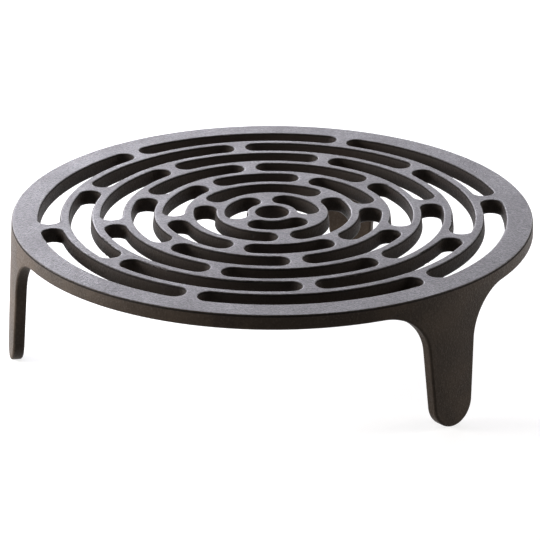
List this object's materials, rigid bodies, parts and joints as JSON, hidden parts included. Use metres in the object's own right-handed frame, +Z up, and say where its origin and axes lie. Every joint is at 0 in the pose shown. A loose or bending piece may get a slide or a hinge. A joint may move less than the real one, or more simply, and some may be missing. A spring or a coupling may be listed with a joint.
{
  "type": "cast-iron hearth grill",
  "caption": "Round slotted plate on three short legs, cast in one piece, for broiling over hearth embers.",
  "frame": {"origin": "on the floor under the plate's centre hole", "axes": "+Z up along the plate's axis; +Y towards the rear leg; +X to the right seen from the front"},
  "size_m": [0.3008, 0.3049, 0.08],
  "materials": {
    "cast_iron": "bare sand-cast iron, dark, with a lightly worn top face"
  },
  "bodies": {
    "root": {"hub_ring": "cast_iron", "ring_bar_1": "cast_iron", "ring_bar_2": "cast_iron", "ring_bar_3": "cast_iron", "ring_bar_4": "cast_iron", "ring_bar_5": "cast_iron", "ring_bar_6": "cast_iron", "web_1_1": "cast_iron", "web_1_2": "cast_iron", "web_1_3": "cast_iron", "web_2_1": "cast_iron", "web_2_2": "cast_iron", "web_2_3": "cast_iron", "web_3_1": "cast_iron", "web_3_2": "cast_iron", "web_3_3": "cast_iron", "web_3_4": "cast_iron", "web_3_5": "cast_iron", "web_3_6": "cast_iron", "web_4_1": "cast_iron", "web_4_2": "cast_iron", "web_4_3": "cast_iron", "web_4_4": "cast_iron", "web_4_5": "cast_iron", "web_4_6": "cast_iron", "web_5_1": "cast_iron", "web_5_2": "cast_iron", "web_5_3": "cast_iron", "web_5_4": "cast_iron", "web_5_5": "cast_iron", "web_5_6": "cast_iron", "web_6_1": "cast_iron", "web_6_2": "cast_iron", "web_6_3": "cast_iron", "web_6_4": "cast_iron", "web_6_5": "cast_iron", "web_6_6": "cast_iron", "web_7_1": "cast_iron", "web_7_2": "cast_iron", "web_7_3": "cast_iron", "web_7_4": "cast_iron", "web_7_5": "cast_iron", "web_7_6": "cast_iron", "rim": "cast_iron", "leg_rear": "cast_iron", "leg_left": "cast_iron", "leg_right": "cast_iron"}
  },
  "joints": []
}
